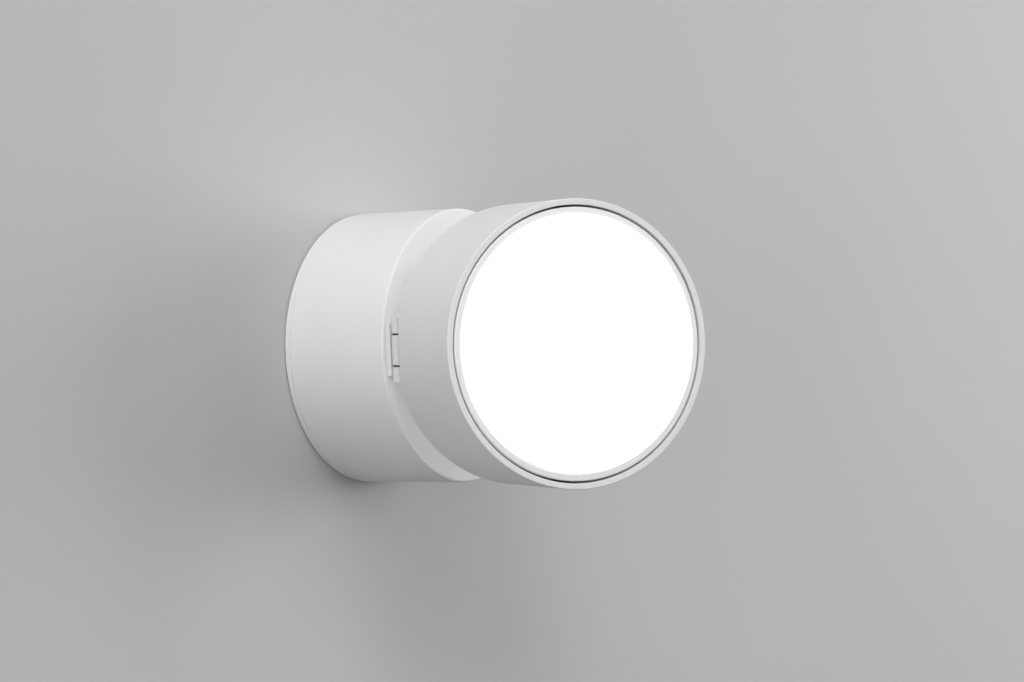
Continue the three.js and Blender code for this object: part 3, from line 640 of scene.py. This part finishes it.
def bridged(name, rings, closed=False):
    """Joins rings of points with faces. A ring of one point ends the form on its axis."""
    bm = bmesh.new()
    rings = [[bm.verts.new(metres(*point)) for point in ring] for ring in rings]
    pairs = list(zip(rings, rings[1:]))
    if closed:
        pairs.append((rings[-1], rings[0]))
    for a, b in pairs:
        sides = max(len(a), len(b))
        for i in range(sides):
            j = (i + 1) % sides
            if len(a) == 1:
                bm.faces.new((a[0], b[i], b[j]))
            elif len(b) == 1:
                bm.faces.new((a[i], b[0], a[j]))
            else:
                bm.faces.new((a[i], b[i], b[j], a[j]))
    return new_object(name, bm)


def lathe(name, outline, sides=DRUM_SIDES, at=(0, 0), closed=False):
    """Turns an outline about the drum's axis, or about a line beside it through at."""
    x, z = at
    rings = []
    for radius, forward in outline:
        angles = ring_angles(radius, sides)
        rings.append([(x + radius * math.sin(a), -forward, z + radius * math.cos(a)) for a in angles])
    return bridged(name, rings, closed)


# Directions in an outline
OUTWARD = (1, 0)
INWARD = (-1, 0)
FORWARD = (0, 1)
REARWARD = (0, -1)


def rounded(radius, forward, size, start, end, steps):
    """Points of a quarter arc that rounds a corner; start and end are directions from the arc's centre."""
    points = []
    for i in range(steps + 1):
        a = math.radians(QUARTER_TURN * i / steps)
        first = size * (math.cos(a) - 1)
        second = size * (math.sin(a) - 1)
        points.append((
            radius + first * start[0] + second * end[0],
            forward + first * start[1] + second * end[1],
        ))
    return points


def level_ring(radius, height, forward=0, shape=None):
    """Points of a level ring about an upright line; shape gives the radius of one that isn't round."""
    points = []
    for a in ring_angles(radius, SMALL_SIDES):
        r = shape(radius, a) if shape else radius
        points.append((r * math.cos(a), r * math.sin(a) - forward, height))
    return points


def hexagon(radius, angle):
    """Distance from the centre to the edge of a hexagon whose corners lie at radius."""
    sixth = 2 * math.pi / HEXAGON_SIDES
    return radius * math.cos(sixth / 2) / math.cos(angle % sixth - sixth / 2)


def cylinder(name, radius, length, place, sides):
    """A cylinder along the Z axis of place."""
    bm = bmesh.new()
    bmesh.ops.create_cone(
        bm, cap_ends=True, segments=sides, radius1=radius * MM, radius2=radius * MM, depth=length * MM,
        matrix=place,
    )
    return new_object(name, bm)


def upright(name, radius, low, high, forward=0):
    """An upright cylinder."""
    return cylinder(name, radius, high - low, moved(0, -forward, (low + high) / 2), SMALL_SIDES)


def along(name, radius, rear, front, x, z, sides=SMALL_SIDES):
    """A cylinder along the drum's axis, or along a line beside it."""
    turn = Matrix.Rotation(math.radians(QUARTER_TURN), 4, "X")
    return cylinder(name, radius, front - rear, moved(x, -(rear + front) / 2, z) @ turn, sides)


def box(name, centre, size, turn=0):
    """A box about its centre, turned about the drum's axis."""
    bm = bmesh.new()
    bmesh.ops.create_cube(bm, size=1)
    turned = moved(*centre) @ Matrix.Rotation(math.radians(turn), 4, "Y")
    bmesh.ops.transform(bm, matrix=turned @ Matrix.Diagonal((*metres(*size), 1)), verts=bm.verts)
    return new_object(name, bm)


def block(name, low, high):
    """A box between two corners."""
    centre = [(a + b) / 2 for a, b in zip(low, high)]
    return box(name, centre, size=[abs(b - a) for a, b in zip(low, high)])


def extruded(name, outline, low, high):
    """An outline of points (x, y), drawn up from low to high."""
    bm = bmesh.new()
    lower = [bm.verts.new(metres(x, y, low)) for x, y in outline]
    upper = [bm.verts.new(metres(x, y, high)) for x, y in outline]
    bm.faces.new(lower)
    bm.faces.new(upper)
    for i in range(len(outline)):
        j = (i + 1) % len(outline)
        bm.faces.new((lower[i], lower[j], upper[j], upper[i]))
    return new_object(name, bm)


# Joining, cutting and rounding

def apply_modifiers(obj):
    """Makes what the modifiers give the object's own mesh."""
    bpy.context.view_layer.update()
    graph = bpy.context.evaluated_depsgraph_get()
    mesh = bpy.data.meshes.new_from_object(obj.evaluated_get(graph))
    obj.modifiers.clear()
    obj.data = mesh


def combine(obj, operation, others):
    """Cuts others out of obj or joins them to it, then deletes them."""
    for other in others:
        modifier = obj.modifiers.new(operation, "BOOLEAN")
        modifier.operation = operation
        modifier.solver = "EXACT"
        modifier.object = other
    apply_modifiers(obj)
    for other in others:
        bpy.data.objects.remove(other)


def cut(obj, tools):
    combine(obj, "DIFFERENCE", tools)


def join(obj, others):
    combine(obj, "UNION", others)


def soften(obj, width):
    """Rounds the sharp edges of obj."""
    bm = bmesh.new()
    bm.from_mesh(obj.data)
    bmesh.ops.remove_doubles(bm, verts=bm.verts, dist=SOFTEN_DOUBLED * MM)
    bmesh.ops.dissolve_limit(bm, angle_limit=math.radians(SOFTEN_FLAT_ANGLE), verts=bm.verts, edges=bm.edges)
    bm.to_mesh(obj.data)
    bm.free()
    bevel = obj.modifiers.new("soften", "BEVEL")
    bevel.width = width * MM
    bevel.segments = SOFTEN_STEPS
    bevel.limit_method = "ANGLE"
    bevel.angle_limit = math.radians(SHARP_ANGLE)
    apply_modifiers(obj)


# Base drum

def hinge_side_holes(rear, front):
    """Tools for the holes of the lead and the leaf screws, through a drum's wall at the hinge gap."""
    tools = [along("lead_hole", GROMMET_NECK_RADIUS + SEAT_GAP, rear, front, *GROMMET_PLACE)]
    x = HINGE_INSET - BODY_RADIUS + LEAF_SCREW_PLACE
    for z in LEAF_SCREW_HEIGHTS:
        tools.append(along("leaf_hole", SCREW_HOLE_RADIUS, rear, front, x, z))
    return tools


def grub_holes():
    """Tools for the two holes of the grub screws, above and below."""
    radius = GRUB_RADIUS + THREAD_GAP
    low = INNER_RADIUS - CUT_OVER
    high = BODY_RADIUS + CUT_OVER
    return [
        upright("grub_hole", radius, low, high, GRUB_FORWARD),
        upright("grub_hole", radius, -high, -low, GRUB_FORWARD),
    ]


def make_base_shell():
    """The rear drum, open at the wall and closed at the front."""
    rear = PLATE_THICKNESS + SEAM
    inside = BASE_LENGTH - FRONT_WALL
    outline = [(0, inside)]
    outline += rounded(INNER_RADIUS, inside, CORNER_ROUND, FORWARD, OUTWARD, steps=3)
    outline += [(INNER_RADIUS, rear + MOUTH_ROUND), (INNER_RADIUS + MOUTH_ROUND, rear)]
    outline += rounded(BODY_RADIUS, rear, SEAM_ROUND, REARWARD, OUTWARD, steps=4)
    outline += rounded(BODY_RADIUS, BASE_LENGTH, EDGE_ROUND, OUTWARD, FORWARD, steps=8)
    outline += [(0, BASE_LENGTH)]
    shell = lathe("base_shell_fine", outline)
    cut(shell, grub_holes() + hinge_side_holes(inside - CUT_OVER, BASE_LENGTH + CUT_OVER))
    settle(shell, "base_shell", "base_drum", BASE, WHITE_COAT)


def wall_slots():
    """Tools for the two level screw slots, each with round ends."""
    radius = SLOT_WIDTH / 2
    reach = SLOT_LENGTH / 2 - radius
    front = PLATE_THICKNESS + CUT_OVER
    tools = []
    for z in (-SLOT_SPACING / 2, SLOT_SPACING / 2):
        for x in (-reach, reach):
            tools.append(along("slot_end", radius, -CUT_OVER, front, x, z))
        tools.append(block("slot", (-reach, CUT_OVER, z - radius), (reach, -front, z + radius)))
    return tools


def make_wall_plate():
    """The plate on the wall, with its slots and the stop pin."""
    radius = BODY_RADIUS - PLATE_INSET
    hole = SLEEVE_RADIUS + THREAD_GAP
    outline = [(hole, 0), (radius - PLATE_BEVEL, 0), (radius, PLATE_BEVEL)]
    outline += rounded(radius, PLATE_THICKNESS, SEAM_ROUND, OUTWARD, FORWARD, steps=4)
    outline += [(hole, PLATE_THICKNESS)]
    plate = lathe("wall_plate_fine", outline, closed=True)
    cut(plate, wall_slots())
    rear = PLATE_THICKNESS - JOIN_DEPTH
    front = PLATE_THICKNESS + STOP_PIN_HEIGHT
    join(plate, [along("stop_pin", STOP_PIN_RADIUS, rear, front, STOP_PLACE, 0, STOP_PIN_SIDES)])
    settle(plate, "wall_plate", "wall_mount", BASE, PLATE_COAT)


def grub_profile(tip, face):
    """Points (radius, height) of a grub screw from its tip, along the thread, to its face."""
    profile = [(0, tip), (GRUB_RADIUS - GRUB_TIP, tip), (GRUB_RADIUS, tip + GRUB_TIP)]
    for i in range(2 * GRUB_TURNS):
        radius = GRUB_ROOT_RADIUS if i % 2 else GRUB_RADIUS
        profile.append((radius, tip + GRUB_THREAD_START + THREAD_STEP * i))
    profile += [(GRUB_RADIUS, face - GRUB_FACE_BEVEL), (GRUB_FACE_RADIUS, face)]
    return profile


def make_grub_screws():
    """Socket screws above and below that hold the drum on the swivel plate's tabs."""
    face = BODY_RADIUS - GRUB_RECESS
    socket_end = face - SOCKET_DEPTH
    profile = grub_profile(face - GRUB_LENGTH, face)
    for side, node in ((-1, "base_grub_screw_lower"), (1, "base_grub_screw_upper")):
        rings = [level_ring(radius, side * height, GRUB_FORWARD) for radius, height in profile]
        for height in (face, socket_end):
            rings.append(level_ring(SOCKET_RADIUS, side * height, GRUB_FORWARD, shape=hexagon))
        rings.append(level_ring(0, side * (socket_end - SOCKET_POINT), GRUB_FORWARD))
        screw = bridged(node + "_fine", rings)
        settle(screw, node, "base_drum", BASE, BLACK_OXIDE)


# Head drum

def countersink(face, towards, depth, at):
    """Tool for a countersunk hole that opens at face and runs towards +1 (forward) or -1 (rearward)."""
    profile = [
        (0, -CUT_OVER), (COUNTERSINK_RADIUS, -CUT_OVER), (COUNTERSINK_RADIUS, 0),
        (SCREW_HOLE_RADIUS, COUNTERSINK_DEPTH), (SCREW_HOLE_RADIUS, depth), (0, depth),
    ]
    outline = [(radius, face + towards * sunk) for radius, sunk in profile]
    return lathe("countersink", outline, SMALL_SIDES, at)


def hinge_relief():
    """Tool for the slanted relief across the head's rear edge, over the height of the hinge."""
    overrun = CUT_OVER * RELIEF_DEPTH / RELIEF_INSET
    outside = -BODY_RADIUS - CUT_OVER
    inside = RELIEF_INSET - BODY_RADIUS + CUT_OVER
    outline = [(outside, -RELIEF_DEPTH - overrun), (inside, overrun), (outside, overrun)]
    return extruded("relief", outline, -RELIEF_HEIGHT / 2, RELIEF_HEIGHT / 2)


def make_head_shell():
    """The front drum, closed at the rear and open at the front."""
    outline = [(0, FRONT_WALL)]
    outline += rounded(INNER_RADIUS, FRONT_WALL, CORNER_ROUND, REARWARD, OUTWARD, steps=3)
    outline += rounded(INNER_RADIUS, HEAD_LENGTH, MOUTH_ROUND, INWARD, FORWARD, steps=3)
    outline += rounded(BODY_RADIUS, HEAD_LENGTH, RIM_ROUND, FORWARD, OUTWARD, steps=6)
    outline += rounded(BODY_RADIUS, 0, EDGE_ROUND, OUTWARD, REARWARD, steps=8)
    outline += [(0, 0)]
    shell = lathe("head_shell_fine", outline)
    tools = hinge_side_holes(-CUT_OVER, FRONT_WALL + CUT_OVER)
    for place in on_circle(SINK_SCREW_CIRCLE, SINK_SCREW_COUNT):
        tools.append(countersink(0, 1, FRONT_WALL + CUT_OVER, place))
    tools.append(hinge_relief())
    cut(shell, tools)
    settle(shell, "head_shell", "head", HEAD, WHITE_COAT, sharp=RELIEF_SHARP_ANGLE)


def make_ring():
    """The thin white ring in the head's mouth, with a lip over the cover's flange."""
    inside = RING_RADIUS - RING_WALL
    lip_rear = RING_FRONT - RING_LIP
    outline = [(inside, lip_rear)]
    outline += rounded(WINDOW_RADIUS, lip_rear, RING_LIP_REAR_ROUND, REARWARD, INWARD, steps=2)
    outline += rounded(WINDOW_RADIUS, RING_FRONT, RING_LIP_ROUND, INWARD, FORWARD, steps=4)
    outline += rounded(RING_RADIUS, RING_FRONT, RING_ROUND, FORWARD, OUTWARD, steps=6)
    outline += [(RING_RADIUS, RING_REAR + RING_REAR_BEVEL), (RING_RADIUS - RING_REAR_BEVEL, RING_REAR)]
    outline += [(inside, RING_REAR)]
    ring = lathe("diffuser_frame_fine", outline, closed=True)
    settle(ring, "diffuser_frame", "head", HEAD, RING_PLASTIC)


def make_cover():
    """The opal cover, flat in front and a little proud of the ring."""
    radius = WINDOW_RADIUS - COVER_GAP
    front = HEAD_LENGTH + COVER_RISE
    back = front - COVER_THICKNESS
    flange = RING_RADIUS - RING_WALL - SEAT_GAP
    flange_front = RING_FRONT - RING_LIP - SEAT_GAP
    flange_rear = flange_front - COVER_FLANGE_THICKNESS
    outline = [(0, back), (flange - COVER_FLANGE_WIDTH, back), (flange - COVER_FLANGE_WIDTH, flange_rear)]
    outline += rounded(flange, flange_rear, COVER_FLANGE_ROUND, REARWARD, OUTWARD, steps=2)
    outline += rounded(flange, flange_front, COVER_FLANGE_ROUND, OUTWARD, FORWARD, steps=2)
    outline += [(radius, flange_front)]
    outline += rounded(radius, front, COVER_ROUND, OUTWARD, FORWARD, steps=6)
    outline += [(radius - COVER_BORDER, front), (0, front)]
    cover = lathe("diffuser_fine", outline)
    settle(cover, "diffuser", "head", HEAD, OPAL)


# Hinge

def knuckle_outline(towards):
    """Outline of a knuckle: the barrel, a neck on one side and a slanted gusset on the other."""
    start = math.acos(NECK_SIDE / BARREL_RADIUS)
    end = math.radians(GUSSET_ANGLE)
    foot = LEAF_FACE + LEAF_THICKNESS / 2
    outline = [(NECK_SIDE, foot)]
    for i in range(BARREL_STEPS + 1):
        a = start + (end - start) * i / BARREL_STEPS
        outline.append((BARREL_RADIUS * math.cos(a), BARREL_RADIUS * math.sin(a)))
    outline += [(GUSSET_LENGTH, LEAF_FACE), (GUSSET_LENGTH, foot)]
    return [(x, y * towards) for x, y in outline]


def make_leaf(name, height, towards, start, additions):
    """A leaf on one side of the pin, +1 (rearward) or -1 (forward), with its bore and countersinks."""
    low = (start, towards * LEAF_FACE, -height / 2)
    high = (LEAF_LENGTH, towards * PIN_FORWARD, height / 2)
    leaf = block(name, low, high)
    join(leaf, additions)
    tools = [upright("bore", PIN_RADIUS + RUN_GAP, -HINGE_HEIGHT, HINGE_HEIGHT)]
    for z in LEAF_SCREW_HEIGHTS:
        at = (LEAF_SCREW_PLACE, z)
        tools.append(countersink(-towards * LEAF_FACE, -towards, LEAF_SCREW_LENGTH + SEAT_GAP, at))
    cut(leaf, tools)
    soften(leaf, LEAF_ROUND)
    return leaf


def make_base_leaf():
    """The fixed leaf with the middle knuckle, a lip past the pin and the stop pad."""
    half = MIDDLE_KNUCKLE / 2
    knuckle = extruded("knuckle", knuckle_outline(1), -half, half)
    pad = block(
        "pad",
        (LEAF_LENGTH - STOP_PAD_LENGTH, -(LEAF_FACE - RUN_GAP), -STOP_PAD_HEIGHT / 2),
        (LEAF_LENGTH, LEAF_FACE + LEAF_THICKNESS / 2, STOP_PAD_HEIGHT / 2),
    )
    leaf = make_leaf("hinge_base_leaf_fine", BASE_LEAF_HEIGHT, 1, -BASE_LEAF_LIP, [knuckle, pad])
    settle(leaf, "hinge_base_leaf", "base_drum", BASE_LEAF, HINGE_COAT)


def make_head_leaf():
    """The moving leaf with the two outer knuckles."""
    inner = MIDDLE_KNUCKLE / 2 + KNUCKLE_SLIT
    outer = HINGE_HEIGHT / 2
    outline = knuckle_outline(-1)
    knuckles = [extruded("knuckle", outline, low, high) for low, high in ((inner, outer), (-outer, -inner))]
    leaf = make_leaf("hinge_head_leaf_fine", HINGE_HEIGHT, -1, NECK_SIDE, knuckles)
    settle(leaf, "hinge_head_leaf", "head", HEAD_LEAF, HINGE_COAT)


def make_pin():
    """The hinge pin with bevelled ends."""
    end = HINGE_HEIGHT / 2
    half_profile = [(PIN_RADIUS, end - PIN_BEVEL), (PIN_RADIUS - PIN_BEVEL, end), (0, end)]
    profile = [(radius, -height) for radius, height in reversed(half_profile)] + half_profile
    pin = bridged("hinge_pin_fine", [level_ring(radius, height) for radius, height in profile])
    settle(pin, "hinge_pin", "base_drum", BASE_LEAF, ZINC)


# Countersunk screws

def screw_profile(length):
    """Points (radius, depth) of a screw from the middle of its head to its tip."""
    profile = [
        (0, 0), (SCREW_TOP_RADIUS, 0), (SCREW_SHOULDER_RADIUS, SCREW_SHOULDER_DEPTH),
        (SCREW_HEAD_RADIUS, SCREW_HEAD_EDGE), (SCREW_HEAD_RADIUS, 2 * SCREW_HEAD_EDGE),
        (SCREW_RADIUS, COUNTERSINK_DEPTH),
    ]
    for i in range(int((length - SCREW_THREAD_START) / THREAD_STEP)):
        radius = SCREW_RADIUS if i % 2 else SCREW_ROOT_RADIUS
        profile.append((radius, SCREW_THREAD_START + THREAD_STEP * i))
    profile += [(SCREW_TIP_RADIUS, length), (0, length)]
    return profile


def make_screw(node, body, place, face, towards, length, at):
    """A screw whose head lies in face and that runs towards +1 (forward) or -1 (rearward)."""
    outline = [(radius, face + towards * depth) for radius, depth in screw_profile(length)]
    screw = lathe(node + "_fine", outline, SMALL_SIDES, at)
    x, z = at
    centre = (x, -(face + towards * CROSS_CENTRE), z)
    size = (CROSS_LENGTH, CROSS_DEPTH, CROSS_WIDTH)
    cut(screw, [box("cross", centre, size, turn + CROSS_TURN) for turn in (0, QUARTER_TURN)])
    settle(screw, node, body, place, ZINC)


def make_screws():
    """The screws of both leaves and of the heat sink."""
    for i, z in enumerate(LEAF_SCREW_HEIGHTS, start=1):
        at = (LEAF_SCREW_PLACE, z)
        make_screw(f"base_leaf_screw_{i}", "base_drum", BASE_LEAF, -LEAF_FACE, -1, LEAF_SCREW_LENGTH, at)
        make_screw(f"head_leaf_screw_{i}", "head", HEAD_LEAF, LEAF_FACE, 1, LEAF_SCREW_LENGTH, at)
    for i, at in enumerate(on_circle(SINK_SCREW_CIRCLE, SINK_SCREW_COUNT), start=1):
        make_screw(f"heat_sink_screw_{i}", "head", HEAD, 0, 1, SINK_SCREW_LENGTH, at)


# Grommets

def make_grommet(node, body, place, rear, front):
    """A rubber grommet with a flange on each face of a drum's wall, from rear to front."""
    bore = GROMMET_BORE_RADIUS
    neck = GROMMET_NECK_RADIUS
    flange = GROMMET_FLANGE_RADIUS
    low = rear - RUN_GAP
    high = front + RUN_GAP
    bottom = low - GROMMET_FLANGE
    top = high + GROMMET_FLANGE
    outline = rounded(bore, bottom, GROMMET_BORE_ROUND, INWARD, REARWARD, steps=3)
    outline += rounded(flange, bottom, GROMMET_ROUND, REARWARD, OUTWARD, steps=5)
    outline += [(flange, low), (neck, low), (neck, high), (flange, high)]
    outline += rounded(flange, top, GROMMET_ROUND, OUTWARD, FORWARD, steps=5)
    outline += rounded(bore, top, GROMMET_BORE_ROUND, FORWARD, INWARD, steps=3)
    grommet = lathe(node + "_fine", outline, GROMMET_SIDES, GROMMET_PLACE, closed=True)
    settle(grommet, node, body, place, GREY_RUBBER)


def make_grommets():
    """A grommet in each of the two walls that the lead passes through."""
    make_grommet("base_grommet", "base_drum", BASE, BASE_LENGTH - FRONT_WALL, BASE_LENGTH)
    make_grommet("head_grommet", "head", HEAD, 0, FRONT_WALL)


# Nodes that keep their solids

NODE_FINISHES = (
    (ZINC, ("pivot_nut", "swivel_plate", "earth_screw", "driver_screw_1", "driver_screw_2")),
    (ZINC, ("board_screw_1", "board_screw_2", "board_screw_3")),
    (ZINC_TURNED, ("pivot_sleeve",)),
    (BLACK_OXIDE, ("disc_spring",)),
    (ALUMINIUM, ("heat_sink",)),
    (WHITE_PLASTIC, ("terminal_block", "driver_case", "driver_lid", "board_connector", "reflector")),
    (BLACK_PLASTIC, ("driver_capacitor_1", "driver_capacitor_2")),
    # The hinge washers are black partly as nylon friction washers and partly as painted shade in the hinge's
    # slits.
    (BLACK_PLASTIC, ("hinge_washer_lower", "hinge_washer_upper")),
    (THERMAL_PAD, ("thermal_pad",)),
    (GREEN_BOARD, ("driver_board",)),
    (WHITE_BOARD, ("light_board",)),
    (FERRITE, ("driver_transformer",)),
)


def finish_nodes():
    """Gives the CAD nodes that keep their solids a better material."""
    for material, nodes in NODE_FINISHES:
        for node in nodes:
            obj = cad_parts[node]
            if not obj.material_slots:
                obj.data.materials.append(material)
            for slot in obj.material_slots:
                slot.material = material


# Stage and light

def make_wall():
    """The wall, open behind the plate up to a lip that keeps rear light out."""
    outline = [(WALL_HOLE_RADIUS, WALL_LIP_FORWARD)]
    outline += [(radius, WALL_FORWARD) for radius in (WALL_HOLE_RADIUS, *WALL_RING_RADII)]
    wall = lathe("wall", outline, WALL_SIDES)
    mesh = wall.data
    if mesh.polygons[-1].normal.y > 0:
        mesh.flip_normals()
    mesh.materials.append(wall_paint("wall_paint"))


def make_lamps():
    """Round soft lamps on a sphere about the origin, each aimed at it."""
    for name, up, around, power in LAMPS:
        e = math.radians(up)
        a = math.radians(around)
        direction = Vector((math.sin(a) * math.cos(e), -math.cos(a) * math.cos(e), math.sin(e)))
        place = direction * (LAMP_DISTANCE * MM)
        data = bpy.data.lights.new(name, "AREA")
        data.shape = "DISK"
        data.size = LAMP_SIZE * MM
        data.energy = power
        lamp = bpy.data.objects.new(name, data)
        bpy.context.scene.collection.objects.link(lamp)
        lamp.location = place
        lamp.rotation_euler = (-place).to_track_quat("-Z", "Y").to_euler()


def background(world, color, strength):
    """A background shader of one colour."""
    node = world.new("Background")
    world.feed(node.inputs["Color"], color)
    world.feed(node.inputs["Strength"], strength)
    return node


def make_world():
    """A dim even light on the lamp, and a pale grey where the background is seen."""
    studio = bpy.data.worlds.new("studio")
    bpy.context.scene.world = studio
    world = NodeTree(studio)
    light = background(world, WORLD_LIGHT_COLOR, WORLD_LIGHT)
    seen = background(world, WORLD_SEEN_COLOR, WORLD_SEEN)
    path = world.new("LightPath").outputs
    glossy = world.math("MAXIMUM", path["Is Camera Ray"], path["Is Glossy Ray"])
    straight = world.math("MAXIMUM", glossy, path["Is Transmission Ray"])
    mixed = world.mixed_shaders(straight, light, seen)
    world.link(mixed, world.new("OutputWorld").inputs["Surface"])


make_camera()
make_base_shell()
make_wall_plate()
make_grub_screws()
make_head_shell()
make_ring()
make_cover()
make_base_leaf()
make_head_leaf()
make_pin()
make_screws()
make_grommets()
finish_nodes()
make_wall()
make_lamps()
make_world()
bpy.context.scene.view_settings.view_transform = "Standard"
